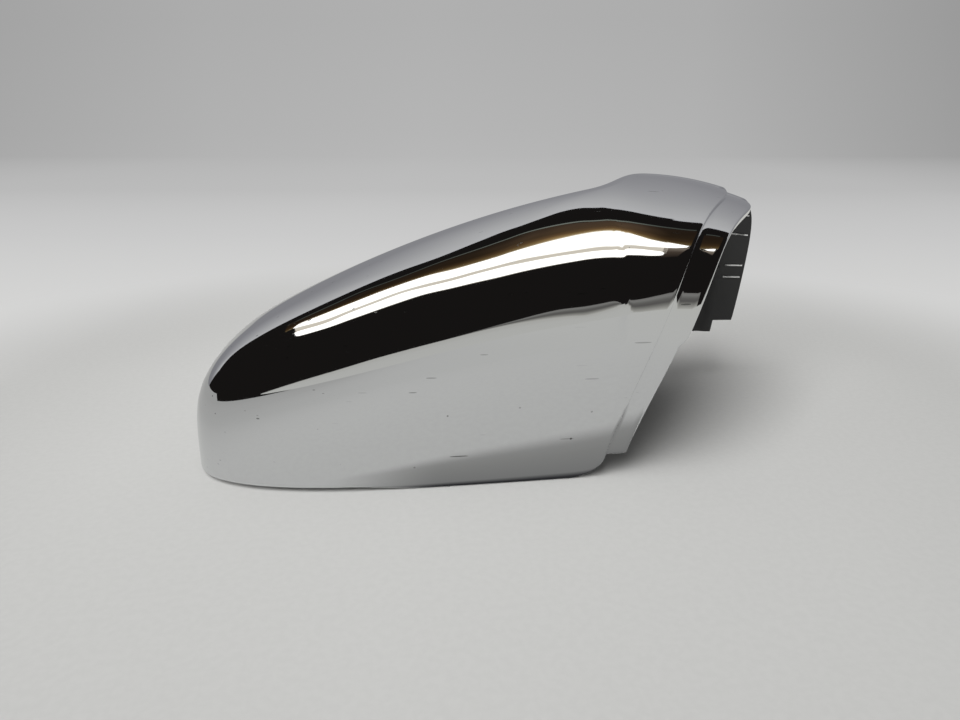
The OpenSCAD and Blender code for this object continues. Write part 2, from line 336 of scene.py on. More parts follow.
@dataclass(frozen=True)
class FasteningSizes:
    """Sizes of the ribs, clips and bosses in millimetres, as in the part.

    The fine ribs on the flange are only here: the part leaves them out. cross_rib_ends are angles
    around the section in degrees, and sink is how deep each piece reaches into the wall.
    """

    rib_t: float = 1.8
    rib_h: float = 5.0
    rib_places: tuple[float, ...] = (60.0, 112.0)
    clip_w: float = 14.0
    clip_t: float = 2.2
    clip_gap: float = 5.0
    clip_len: float = 20.0
    clip_barb: float = 2.0
    clip_foot: float = 9.0
    clip_places: tuple[float, ...] = (72.0, 124.0)
    boss_d: float = 9.0
    boss_hole_d: float = 3.4
    boss_hole_depth: float = 14.0
    boss_foot: float = 56.0
    boss_places: tuple[float, ...] = (86.0, 138.0)
    boss_in: float = 45.0
    boss_flare: float = 1.5
    boss_flare_len: float = 5.0
    rear_rib_places: tuple[float, ...] = (57.0, 66.0, 77.0)
    rear_rib_len: float = 20.0
    rear_rib_h: float = 2.5
    edge_r: float = 0.35
    flange_rib_places: tuple[float, ...] = (50.7, 57.2, 75.0, 86.7)
    flange_rib_t: float = 0.6
    flange_rib_h: float = 0.8
    flange_rib_gap: float = 0.5
    flange_rib_short: float = 2.0
    flange_rib_edge_r: float = 0.15
    cross_rib_ends: tuple[float, float] = (27.0, 153.0)
    sink: float = 0.4


class NodeKit:
    """Adds nodes to one material's tree."""

    def __init__(self, name: str) -> None:
        """Make an empty node material called name."""
        self.material = bpy.data.materials.new(name)
        self.material.use_nodes = True
        self.tree = self.material.node_tree
        self.tree.nodes.clear()

    def add(self, kind: str, links: dict | None = None, **settings: object) -> bpy.types.Node:
        """Add one node with its settings and links.

        Args:
            kind: the node's Blender type.
            links: input name or number to an output socket or a plain value.
            settings: attributes to set on the node.

        Returns:
            The new node.
        """
        node = self.tree.nodes.new(kind)
        for key, value in settings.items():
            setattr(node, key, value)
        for key, value in (links or {}).items():
            socket = node.inputs[key]
            if isinstance(value, bpy.types.NodeSocket):
                self.tree.links.new(value, socket)
            else:
                socket.default_value = value
        return node

    def place(self) -> bpy.types.NodeSocket:
        """Return the coordinates of the object, in metres."""
        return self.add("ShaderNodeTexCoord").outputs["Object"]

    def across(self) -> bpy.types.NodeSocket:
        """Return how far across a stage card a point is, from 0 to 1."""
        return self.add("ShaderNodeAttribute", attribute_name="across").outputs["Fac"]

    def noise(self, place: bpy.types.NodeSocket, scale: float, detail: float) -> bpy.types.NodeSocket:
        """Return soft noise, with scale lumps to a metre."""
        links = {"Vector": place, "Scale": scale, "Detail": detail}
        return self.add("ShaderNodeTexNoise", links).outputs[0]

    def bump(
        self, height: bpy.types.NodeSocket, depth_mm: float, strength: float
    ) -> bpy.types.NodeSocket:
        """Return a normal that follows height."""
        links = {"Height": height, "Distance": depth_mm * MM, "Strength": strength}
        return self.add("ShaderNodeBump", links).outputs[0]

    def between(self, value: bpy.types.NodeSocket, low: float, high: float) -> bpy.types.NodeSocket:
        """Return low to high as value goes from 0 to 1."""
        links = {"Value": value, "To Min": low, "To Max": high}
        return self.add("ShaderNodeMapRange", links).outputs[0]

    def glow(self, colour: bpy.types.NodeSocket, strength: object = 1.0) -> bpy.types.NodeSocket:
        """Return a shader that glows."""
        return self.add("ShaderNodeEmission", {"Color": colour, "Strength": strength}).outputs[0]

    def dots(
        self, place: bpy.types.NodeSocket, scale: float, bare: float, size: float, strength: float
    ) -> bpy.types.NodeSocket:
        """Return a mask of dots, one in some cells of a cell pattern.

        Args:
            place: the coordinates to read.
            scale: how many cells go to one unit of place.
            bare: the share of cells without a dot.
            size: the largest dot's radius, in cells.
            strength: the strongest dot's value.

        Returns:
            The mask's socket.
        """
        cells = self.add("ShaderNodeTexVoronoi", {"Vector": place, "Scale": scale})
        pick = self.add("ShaderNodeSeparateXYZ", {0: cells.outputs["Color"]})
        radius = self.math("MULTIPLY", self.spot(pick.outputs[0], bare, 1.0), size)
        dot = self.math("LESS_THAN", cells.outputs["Distance"], radius)
        return self.math("MULTIPLY", dot, self.math("MULTIPLY", pick.outputs[1], strength))

    def math(self, operation: str, *values: object) -> bpy.types.NodeSocket:
        """Return the result of one math node on values."""
        links = dict(enumerate(values))
        return self.add("ShaderNodeMath", links, operation=operation, use_clamp=False).outputs[0]

    def spot(self, value: bpy.types.NodeSocket, low: float, high: float) -> bpy.types.NodeSocket:
        """Return a smooth 0 to 1 as value goes from low to high."""
        links = {"Value": value, "From Min": low, "From Max": high}
        return self.add("ShaderNodeMapRange", links, interpolation_type="SMOOTHSTEP").outputs[0]

    def blend(self, share: object, first: object, second: object) -> bpy.types.NodeSocket:
        """Return the mix of two colours by share."""
        return self.add("ShaderNodeMix", {0: share, 6: first, 7: second}, data_type="RGBA").outputs[2]

    def multiply(self, first: object, second: object) -> bpy.types.NodeSocket:
        """Return the product of two colours."""
        links = {0: 1.0, 6: first, 7: second}
        return self.add("ShaderNodeMix", links, data_type="RGBA", blend_type="MULTIPLY").outputs[2]

    def ramp(self, value: bpy.types.NodeSocket, stops: tuple) -> bpy.types.NodeSocket:
        """Return a colour that follows value.

        Args:
            value: the socket to follow.
            stops: pairs of a place from 0 to 1 and a hex colour.

        Returns:
            The colour's socket.
        """
        node = self.add("ShaderNodeValToRGB", {0: value})
        elements = node.color_ramp.elements
        for place, hex_colour in stops[1:-1]:
            elements.new(place).color = linear(hex_colour)
        elements[0].position, elements[0].color = stops[0][0], linear(stops[0][1])
        elements[-1].position, elements[-1].color = stops[-1][0], linear(stops[-1][1])
        return node.outputs[0]

    def finish(self, shader: bpy.types.NodeSocket) -> bpy.types.Material:
        """Link shader to the output and return the material."""
        self.add("ShaderNodeOutputMaterial", {"Surface": shader})
        return self.material


@dataclass(frozen=True)
class ChromePlate:
    """Bright chromium plated on moulded ABS: a clear mirror with a faint ripple and light scuffs."""

    colour: str = "dadbdc"
    wear_and_dim_highlight_colour: str = "747574"
    speck_colour: str = "4a4846"
    roughness: float = 0.03
    worn_roughness: float = 0.3
    ripple_mm: float = 34.0
    ripple_depth_mm: float = 0.03
    scratch_cell_mm: float = 32.0
    scratch_turns: tuple = ((0.0, 0.55, 0.3), (0.3, -0.95, 0.4))
    speck_mm: float = 6.0
    scratch_w_mm: float = 2.6
    # Share of cells without a dot, the largest dot in cells, and the strongest dot's value
    scratch_dots: tuple[float, float, float] = (0.35, 0.11, 0.85)
    speck_dots: tuple[float, float, float] = (0.4, 0.08, 0.8)

    def build(self) -> bpy.types.Material:
        """Return the material."""
        kit = NodeKit(Slot.PLATE.value)
        place = kit.place()
        ripple = kit.noise(place, 1 / (self.ripple_mm * MM), 1.0)
        waves = kit.bump(ripple, self.ripple_depth_mm, 1.0)
        worn = self.scratches(kit, place)
        speck = self.specks(kit, place)
        tint = kit.blend(worn, linear(self.colour), linear(self.wear_and_dim_highlight_colour))
        colour = kit.blend(speck, tint, linear(self.speck_colour))
        wear = kit.math("MAXIMUM", worn, speck)
        rough = kit.between(wear, self.roughness, self.worn_roughness)
        links = {"Base Color": colour, "Metallic": 1.0, "Roughness": rough, "Normal": waves}
        return kit.finish(kit.add("ShaderNodeBsdfPrincipled", links).outputs[0])

    def scratches(self, kit: NodeKit, place: bpy.types.NodeSocket) -> bpy.types.NodeSocket:
        """Return a mask of short, fine scratches, drawn out in two directions.

        Args:
            kit: the material's nodes.
            place: the coordinates to read.

        Returns:
            The mask's socket: dots of a cell pattern that is drawn out in one direction.
        """
        cell = (self.scratch_cell_mm, self.scratch_w_mm, self.scratch_w_mm)
        masks = []
        for turn in self.scratch_turns:
            stretch = kit.add(
                "ShaderNodeMapping",
                {
                    "Vector": place,
                    "Rotation": turn,
                    "Scale": [1 / (size * MM) for size in cell],
                },
            )
            masks.append(kit.dots(stretch.outputs[0], 1.0, *self.scratch_dots))
        return kit.math("MAXIMUM", *masks)

    def specks(self, kit: NodeKit, place: bpy.types.NodeSocket) -> bpy.types.NodeSocket:
        """Return a mask of small pits and specks of dust."""
        return kit.dots(place, 1 / (self.speck_mm * MM), *self.speck_dots)


@dataclass(frozen=True)
class BareAbs:
    """Unplated black ABS as it leaves the mould: a satin skin with a fine grain."""

    colour: str = "161617"
    light_colour: str = "232324"
    roughness: float = 0.28
    rough_more: float = 0.18
    grain_mm: float = 0.5
    grain_depth_mm: float = 0.02
    cloud_mm: float = 18.0
    cloud_edges: tuple[float, float] = (0.35, 0.65)

    def build(self) -> bpy.types.Material:
        """Return the material."""
        kit = NodeKit(Slot.BARE.value)
        place = kit.place()
        cloud = kit.noise(place, 1 / (self.cloud_mm * MM), 3.0)
        grain = kit.noise(place, 1 / (self.grain_mm * MM), 2.0)
        share = kit.spot(cloud, *self.cloud_edges)
        shader = kit.add(
            "ShaderNodeBsdfPrincipled",
            {
                "Base Color": kit.blend(share, linear(self.colour), linear(self.light_colour)),
                "Roughness": kit.between(share, self.roughness, self.roughness + self.rough_more),
                "IOR": 1.53,
                "Normal": kit.bump(grain, self.grain_depth_mm, 0.5),
            },
        )
        return kit.finish(shader.outputs[0])


@dataclass(frozen=True)
class PaintedHighlightAbs:
    """Pale matt colour on ABS along a fine edge: a painted highlight for the light that a crest catches, with
    dimmer random patches.
    """

    # Painted highlight: near-white stands for the light on the rib crests, broken by dimmer random patches
    colour: str = "ececea"
    wear_and_dim_highlight_colour: str = "8d8d8c"
    roughness: float = 0.5
    patch_mm: float = 3.0
    patch_edges: tuple[float, float] = (0.5, 0.68)

    def build(self) -> bpy.types.Material:
        """Return the material."""
        kit = NodeKit("painted_highlight_edge")
        patch = kit.spot(kit.noise(kit.place(), 1 / (self.patch_mm * MM), 2.0), *self.patch_edges)
        colour = kit.blend(patch, linear(self.colour), linear(self.wear_and_dim_highlight_colour))
        shader = kit.add("ShaderNodeBsdfPrincipled", {"Base Color": colour, "Roughness": self.roughness})
        return kit.finish(shader.outputs[0])


def deselect() -> None:
    """Leave no object selected and no mode open."""
    if bpy.context.object and bpy.context.object.mode != "OBJECT":
        bpy.ops.object.mode_set(mode="OBJECT")
    bpy.ops.object.select_all(action="DESELECT")


def make_active(obj: bpy.types.Object) -> None:
    """Select obj alone and make it the active object."""
    deselect()
    obj.select_set(True)
    bpy.context.view_layer.objects.active = obj


def apply_modifiers(obj: bpy.types.Object) -> None:
    """Apply every modifier on obj, in order."""
    make_active(obj)
    for modifier in list(obj.modifiers):
        bpy.ops.object.modifier_apply(modifier=modifier.name)


def pick_faces(obj: bpy.types.Object, wanted: Callable[[Vector, Vector], bool]) -> None:
    """Select the faces of obj that wanted says yes to, and enter edit mode.

    Args:
        obj: the object to edit.
        wanted: takes a face's centre and normal.
    """
    make_active(obj)
    bpy.ops.object.mode_set(mode="EDIT")
    bpy.context.tool_settings.mesh_select_mode = (False, False, True)
    bpy.ops.mesh.select_all(action="DESELECT")
    bpy.ops.object.mode_set(mode="OBJECT")
    for face in obj.data.polygons:
        face.select = wanted(face.center, face.normal)
    bpy.ops.object.mode_set(mode="EDIT")


def extrude(offset: tuple[float, float, float]) -> None:
    """Extrude what is selected in edit mode by offset, in metres."""
    bpy.ops.mesh.extrude_region_move(TRANSFORM_OT_translate={"value": offset})


def soften(obj: bpy.types.Object, radius_mm: float, angle: float = 50.0) -> None:
    """Round the sharp edges of obj and shade it smooth.

    Args:
        obj: the piece to finish.
        radius_mm: how much of each side the rounding takes.
        angle: edges sharper than this, in degrees, are rounded.
    """
    bevel = obj.modifiers.new("edges", "BEVEL")
    bevel.width = radius_mm * MM
    bevel.segments = 2
    bevel.limit_method = "ANGLE"
    bevel.angle_limit = math.radians(angle)
    apply_modifiers(obj)
    bpy.ops.object.shade_smooth_by_angle(angle=SMOOTH_ANGLE)


def lay_grid(columns: int, rows: int, points: np.ndarray) -> bpy.types.Object:
    """Add a grid primitive and lay its points.

    Args:
        columns: how many faces it has in a row.
        rows: how many rows of faces it has.
        points: its points in metres, row by row.

    Returns:
        The grid.
    """
    deselect()
    bpy.ops.mesh.primitive_grid_add(x_subdivisions=columns, y_subdivisions=rows, size=1)
    grid = bpy.context.object
    grid.data.vertices.foreach_set("co", points.reshape(-1).astype(np.float32))
    grid.data.update()
    return grid


def add_piece(obj: bpy.types.Object, name: str, material: bpy.types.Material, slot: Slot) -> None:
    """Name a finished piece, give it its material and bind it to the part.

    Args:
        obj: the piece.
        name: its name.
        material: its material; a piece that has materials keeps them.
        slot: the record's slot that it belongs to; not used.
    """
    obj.name = obj.data.name = name
    if not obj.data.materials:
        obj.data.materials.append(material)
    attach(obj, BODY)
    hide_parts(NODE)
    LOG.info("%s: %d faces", name, len(obj.data.polygons))


@dataclass
class Shell:
    """The moulded shell: a grid wrapped around the wall, its points laid on the section rule.

    Each row runs along the outer side, around the rounded rear rim, back along the inner side and
    around the front rim. Merging closes the seam, and a bridge closes the edge of the mouth.
    """

    form: CoverForm
    tip_rows: int = 44
    body_rows: int = 80
    half_columns: int = 58
    edge_soft: float = 0.5
    rim_r: float = 1.2
    lip_r: float = 0.9
    rim_steps: int = 5
    crowd: float = 1.5
    tip_inset: float = 0.6
    thicken_at: float = 0.96
    thicken_run: float = 0.03
    merge: float = 1e-6
    # How far along and how far down each row lies that rounds the skin's edge
    edge_rows: tuple = ((0.25, 0.07), (0.43, 0.25), (0.5, 0.5))
    # How far along each row lies that rounds the step's foot, and how far above the flange
    foot_rows: tuple = ((0.02, 0.35), (0.1, 0.12), (0.35, 0.0))

    def columns(self, x_front: float, x_rear: float) -> tuple[np.ndarray, np.ndarray]:
        """Angles of one row's columns, closest where the section bends most.

        Args:
            x_front: distance from the tip at which the row meets the front rim.
            x_rear: distance from the tip at which the row meets the rear rim.

        Returns:
            The angles, and how far each point is moved in for the rounded rim.
        """
        turn = np.linspace(0, math.pi / 2, self.rim_steps)
        rise = self.rim_r * (1 - np.cos(turn))
        front = self.form.rise_angle(x_front, rise, False)
        rear = self.form.rise_angle(x_rear, rise, True)
        v = np.linspace(0, 1, self.half_columns + 1)
        share = v**self.crowd / (v**self.crowd + (1 - v) ** self.crowd)
        first = front[-1] + (math.pi / 2 - front[-1]) * share
        last = math.pi - rear[-1] - (math.pi / 2 - rear[-1]) * share[::-1]
        angles = np.concatenate([front[:-1], first, last[1:], math.pi - rear[-2::-1]])
        moved = np.zeros(len(angles))
        moved[: self.rim_steps] = self.rim_r * (1 - np.sin(turn))
        moved[-self.rim_steps :] = moved[: self.rim_steps][::-1]
        return angles, moved

    def stations(self) -> list:
        """Rows from the tip to the lip.

        Returns:
            For each row: a function from the angles to distances from the tip, the inset of the outer
            side, the inset of the inner side, and 1 on the flange or 0 elsewhere.
        """
        form, step, soft = self.form, self.form.flange_step, self.edge_soft
        deep = step + form.flange_t
        tip = form.tip_plan_len
        rows = []
        for i in range(self.tip_rows + 1):
            x = tip * (1 - math.cos(math.pi / 2 * i / self.tip_rows))
            rows.append((lambda a, x=x: np.full_like(a, x), 0.0, form.wall, 0.0))
        for i in range(1, self.body_rows + 1):
            share = i / self.body_rows
            thicker = float(ease((share - self.thicken_at) / self.thicken_run))
            inner = form.wall + (deep - form.wall) * thicker
            rows.append((lambda a, s=share: tip + (form.joggle_x(a) - soft - tip) * s, 0.0, inner, 0.0))
        for along, down in self.edge_rows:
            rows.append((lambda a, d=along: form.joggle_x(a) - soft + d, down, deep, 0.0))
        for along, above in self.foot_rows:
            down = step - above
            on = float(down > step / 2)
            rows.append((lambda a, d=along: form.joggle_x(a) + d, down, deep, on))
        for share in (0.25, 0.5, 0.75, 1.0):
            rows.append(
                (
                    lambda a, s=share: form.joggle_x(a) + (form.flange_width(a) - self.lip_r) * s,
                    step, deep, 1.0,
                )
            )
        for turn in np.linspace(0, math.pi / 2, 5)[1:]:
            back = self.lip_r * (1 - math.sin(turn))
            rows.append(
                (
                    lambda a, b=back: form.joggle_x(a) + form.flange_width(a) - b,
                    step + self.lip_r * (1 - math.cos(turn)), deep, 1.0,
                )
            )
        return rows

    def sides(self) -> tuple[np.ndarray, np.ndarray]:
        """Points of the outer and of the inner side in the form's millimetres."""
        form = self.form
        outer, inner = [], []
        for at, outside, inside, on in self.stations():
            ends = at(np.array([0.0, math.pi]))
            a, moved = self.columns(float(ends[0]), float(ends[1]))
            x = at(a)
            outer.append(form.skin(x, a, outside + np.minimum(moved, self.tip_inset * x), on))
            drawn_in = inside + (form.tip_plan_len - inside) * x / form.tip_plan_len
            within = np.minimum(drawn_in, x + inside)
            x_in = np.where(x < form.tip_plan_len, np.maximum(within, inside), x)
            inner.append(form.skin(x_in, a, inside, on))
        # Each side comes to one point at the tip
        outer[0][:], inner[0][:] = outer[0].mean(axis=0), inner[0].mean(axis=0)
        return np.stack(outer), np.stack(inner)

    def middle(self) -> np.ndarray:
        """The middle of the shell's box, on the plane of the open side, in millimetres."""
        points = self.sides()[0].reshape(-1, 3)
        middle = (points.min(axis=0) + points.max(axis=0)) / 2
        return np.array([middle[0], middle[1], 0.0])

    def bridge_mouth(self, shell: bpy.types.Object, first: int, columns: int) -> None:
        """Bridge the outer and the inner side at the mouth's free edge.

        Args:
            shell: the wrapped grid.
            first: number of the first point of its last row.
            columns: how many points each side has in a row.
        """
        make_active(shell)
        bpy.ops.object.mode_set(mode="EDIT")
        bpy.context.tool_settings.mesh_select_mode = (False, True, False)
        bpy.ops.mesh.select_all(action="DESELECT")
        bpy.ops.object.mode_set(mode="OBJECT")
        for edge in shell.data.edges:
            low, high = sorted(edge.vertices)
            on_side = low - first not in (columns - 1, 2 * columns - 1)
            edge.select = low >= first and high - low == 1 and on_side
        bpy.ops.object.mode_set(mode="EDIT")
        bpy.ops.mesh.bridge_edge_loops()
        bpy.ops.object.mode_set(mode="OBJECT")

    def build(
        self, shift: np.ndarray, plate: bpy.types.Material, bare: bpy.types.Material
    ) -> bpy.types.Object:
        """Model the shell.

        Args:
            shift: the part's origin in the form's millimetres.
            plate: the finish of the outer side and the rim.
            bare: the finish of the inner side.

        Returns:
            The shell as one closed mesh.
        """
        outer, inner = self.sides()
        rows, columns = outer.shape[:2]
        loops = np.concatenate([outer, inner[:, ::-1], outer[:, :1]], axis=1)
        points = (loops.reshape(-1, 3) - shift) * MM * SNUG
        around = 2 * columns
        shell = lay_grid(around, rows - 1, points)
        shell.data.materials.append(plate)
        shell.data.materials.append(bare)
        for face in shell.data.polygons:
            place = min(number % (around + 1) for number in face.vertices)
            face.material_index = int(columns <= place < around - 1)
        self.bridge_mouth(shell, (rows - 1) * (around + 1), columns)
        for face in shell.data.polygons[(rows - 1) * around :]:
            face.material_index = 0
        bpy.ops.object.mode_set(mode="EDIT")
        bpy.ops.mesh.select_all(action="SELECT")
        bpy.ops.mesh.remove_doubles(threshold=self.merge)
        bpy.ops.mesh.dissolve_degenerate(threshold=self.merge)
        bpy.ops.mesh.select_all(action="SELECT")
        bpy.ops.mesh.normals_make_consistent(inside=False)
        bpy.ops.object.mode_set(mode="OBJECT")
        bpy.ops.object.shade_smooth_by_angle(angle=SMOOTH_ANGLE)
        return shell


@dataclass
class Fastenings:
    """The ribs, clips and bosses inside, each a piece of its own in bare plastic, apart from the fine flange
    ribs, which carry a painted highlight.
    """

    form: CoverForm
    sizes: FasteningSizes
    shift: np.ndarray
    bare: bpy.types.Material
    painted_highlight: bpy.types.Material

    def local(self, x: float, y: float, z: float) -> Vector:
        """Turn a point in the form's millimetres into the part's frame in metres."""
        return Vector((np.array([x, y, z]) - self.shift) * MM * SNUG)

    def add(self, obj: bpy.types.Object, name: str) -> None:
        """Finish a piece and bind it to the part."""
        soften(obj, self.sizes.edge_r)
        add_piece(obj, name, self.bare, Slot.BARE)

    def cross_rib(self, number: int, x: float) -> None:
        """Model a rib across the inside under the crown.

        Args:
            number: the rib's number.
            x: its distance from the tip.
        """
        first, last = self.sizes.cross_rib_ends
        a = np.linspace(math.radians(first), math.radians(last), 65)
        at = np.full_like(a, x - self.sizes.rib_t / 2)
        root = self.form.skin(at, a, self.form.wall - self.sizes.sink)
        edge = self.form.skin(at, a, self.form.wall + self.sizes.rib_h)
        points = (np.stack([root, edge]) - self.shift) * MM * SNUG
        rib = lay_grid(len(a) - 1, 1, points)
        bpy.ops.object.mode_set(mode="EDIT")
        bpy.ops.mesh.select_all(action="SELECT")
        extrude((self.sizes.rib_t * MM, 0.0, 0.0))
        bpy.ops.mesh.select_all(action="SELECT")
        bpy.ops.mesh.normals_make_consistent(inside=False)
        bpy.ops.object.mode_set(mode="OBJECT")
        self.add(rib, f"cross_rib_{number}")

    def clip(self, name: str, x: float, rear: bool) -> None:
        """Model a snap clip: an arm off the wall and a tongue that ends in a barb.

        Known fault: on the rear wall corner_y lies at the arm's wall side and not at its free end, so
        no face is picked there and the rear clips are an arm alone. The part has their tongues.

        Args:
            name: the piece's name.
            x: its distance from the tip.
            rear: True on the rear wall and False on the front wall.
        """
        s = self.sizes
        arm_z = s.clip_foot + s.clip_len
        side = -1.0 if rear else 1.0
        anchor = self.form.at(x, self.form.angle_at(x, arm_z, rear), 0.0)[1]
        foot = self.form.at(x, self.form.angle_at(x, s.clip_foot, rear), 0.0)[1]
        reach = self.form.wall + s.clip_gap + max(0.0, (foot - anchor) * side)
        root = self.form.wall - s.sink
        deselect()
        bpy.ops.mesh.primitive_cube_add(size=1)
        clip = bpy.context.object
        low = self.local(x - s.clip_w / 2, anchor + side * root, arm_z - s.clip_t)
        high = self.local(x + s.clip_w / 2, anchor + side * reach, arm_z)
        clip.scale = [abs(v) for v in (high - low)]
        clip.location = (low + high) / 2
        bpy.ops.object.transform_apply(location=True, rotation=False, scale=True)
        pick_faces(clip, lambda centre, normal: normal.y * side > FACING)
        extrude((0.0, side * s.clip_t * MM, 0.0))
        bpy.ops.object.mode_set(mode="OBJECT")
        corner_y = (low.y if rear else high.y) + side * s.clip_t / 2 * MM
        pick_faces(
            clip,
            lambda centre, normal: normal.z < -FACING and abs(centre.y - corner_y) < s.clip_t / 2 * MM,
        )
        shaft = s.clip_len - s.clip_t - 2 * s.clip_barb
        for drop in (shaft, s.clip_barb, s.clip_barb):
            extrude((0.0, 0.0, -drop * MM))
        bpy.ops.object.mode_set(mode="OBJECT")
        barb_z = self.local(x, 0.0, s.clip_foot + s.clip_barb).z
        for vertex in clip.data.vertices:
            outer = (vertex.co.y - corner_y) * side > 0
            if outer and abs(vertex.co.z - barb_z) < NEAR:
                vertex.co.y += side * s.clip_barb * MM
        self.add(clip, name)

    def boss(self, number: int, x: float) -> None:
        """Model a round screw boss with its blind pilot hole and the flare at its root.

        Args:
            number: the boss's number.
            x: its distance from the tip.
        """
        s = self.sizes
        inset = self.form.wall - s.sink
        root_r = s.boss_d / 2 + s.boss_flare
        lowest = min(
            self.form.crown_over(x + root_r * math.cos(t), s.boss_in + root_r * math.sin(t), inset)
            for t in np.linspace(0, 2 * math.pi, 16)
        )
        neck_z = lowest - s.boss_flare_len
        foot = self.local(x, s.boss_in, s.boss_foot)
        neck = self.local(x, s.boss_in, neck_z)
        deselect()
        bpy.ops.mesh.primitive_cylinder_add(
            vertices=40, radius=s.boss_d / 2 * MM, depth=neck.z - foot.z, location=(foot + neck) / 2
        )
        boss = bpy.context.object
        bpy.ops.object.transform_apply(location=True, rotation=False, scale=False)
        pick_faces(boss, lambda centre, normal: normal.z < -FACING)
        bpy.ops.mesh.inset(thickness=(s.boss_d - s.boss_hole_d) / 2 * MM, depth=0)
        extrude((0.0, 0.0, s.boss_hole_depth * MM))
        pick_faces(boss, lambda centre, normal: normal.z > FACING)
        extrude((0.0, 0.0, s.boss_flare_len * MM))
        bpy.ops.object.mode_set(mode="OBJECT")
        top = neck.z + s.boss_flare_len * MM - NEAR
        for vertex in boss.data.vertices:
            if vertex.co.z > top:
                out = Vector((vertex.co.x - foot.x, vertex.co.y - foot.y)).normalized() * root_r
                vertex.co.x, vertex.co.y = foot.x + out.x * MM, foot.y + out.y * MM
                height = self.form.crown_over(x + out.x, s.boss_in + out.y, inset)
                vertex.co.z = self.local(0.0, 0.0, height).z
        self.add(boss, f"screw_boss_{number}")

    def rear_rib(self, number: int, z: float) -> None:
        """Model a short rib along the rear wall behind the flange.

        Args:
            number: the rib's number.
            z: its height above the plane of the open side.
        """
        s, form = self.sizes, self.form
        end_x = float(form.joggle_x(np.array([form.angle_at(form.rear_joggle, z, True)]))[0]) - form.wall
        start_x = end_x - s.rear_rib_len
        deselect()
        bpy.ops.mesh.primitive_cube_add(size=1)
        rib = bpy.context.object
        for vertex in rib.data.vertices:
            x = end_x if vertex.co.x > 0 else start_x
            wall_y = form.at(x, form.angle_at(x, z, True), form.wall)[1]
            y = wall_y + s.sink if vertex.co.y > 0 else wall_y - s.rear_rib_h
            vertex.co = self.local(x, y, z + (s.rib_t if vertex.co.z > 0 else 0.0))
        self.add(rib, f"rear_rib_{number}")

    def flange_rib(self, number: int, z: float) -> None:
        """Model a fine rib on the inner side of the flange, coloured pale all over as a painted highlight for
        the light along its crest.

        Args:
            number: the rib's number.
            z: its height above the plane of the open side.
        """
        s, form = self.sizes, self.form
        a = np.array([form.angle_at(form.rear_joggle, z, True)])
        start_x = float(form.joggle_x(a)[0]) + s.flange_rib_gap
        end_x = start_x + float(form.flange_width(a)[0]) - s.flange_rib_short
        deep = form.flange_step + form.flange_t
        deselect()
        bpy.ops.mesh.primitive_cube_add(size=1)
        rib = bpy.context.object
        for vertex in rib.data.vertices:
            x = end_x if vertex.co.x > 0 else start_x
            wall = form.skin(np.array([x]), a, deep, 1.0)[0]
            y = wall[1] + (s.sink if vertex.co.y > 0 else -s.flange_rib_h)
            vertex.co = self.local(x, y, wall[2] + (s.flange_rib_t if vertex.co.z > 0 else 0.0))
        soften(rib, s.flange_rib_edge_r)
        add_piece(rib, f"flange_rib_{number}", self.painted_highlight, Slot.BARE)

    def build(self) -> None:
        """Model every fastening."""
        for number, x in enumerate(self.sizes.rib_places, 1):
            self.cross_rib(number, x)
        for number, x in enumerate(self.sizes.clip_places, 1):
            self.clip(f"front_clip_{number}", x, False)
            self.clip(f"rear_clip_{number}", x, True)
        for number, x in enumerate(self.sizes.boss_places, 1):
            self.boss(number, x)
        for number, z in enumerate(self.sizes.rear_rib_places, 1):
            self.rear_rib(number, z)
        for number, z in enumerate(self.sizes.flange_rib_places, 1):
            self.flange_rib(number, z)


def smooth_line(points: tuple, count: int) -> np.ndarray:
    """Run a smooth line through a few points.

    Args:
        points: the points, each a tuple of floats.
        count: how many points to return.

    Returns:
        An array of points along the line.
    """
    p = np.array(points, dtype=float)
    p = np.vstack([2 * p[0] - p[1], p, 2 * p[-1] - p[-2]])
    t = np.linspace(0, len(points) - 1, count)
    i = np.minimum(t.astype(int), len(points) - 2)
    u = (t - i)[:, None]
    a, b, c, d = p[i], p[i + 1], p[i + 2], p[i + 3]
    return 0.5 * (2 * b + (c - a) * u + (2 * a - 5 * b + 4 * c - d) * u**2 + (3 * b - a - 3 * c + d) * u**3)


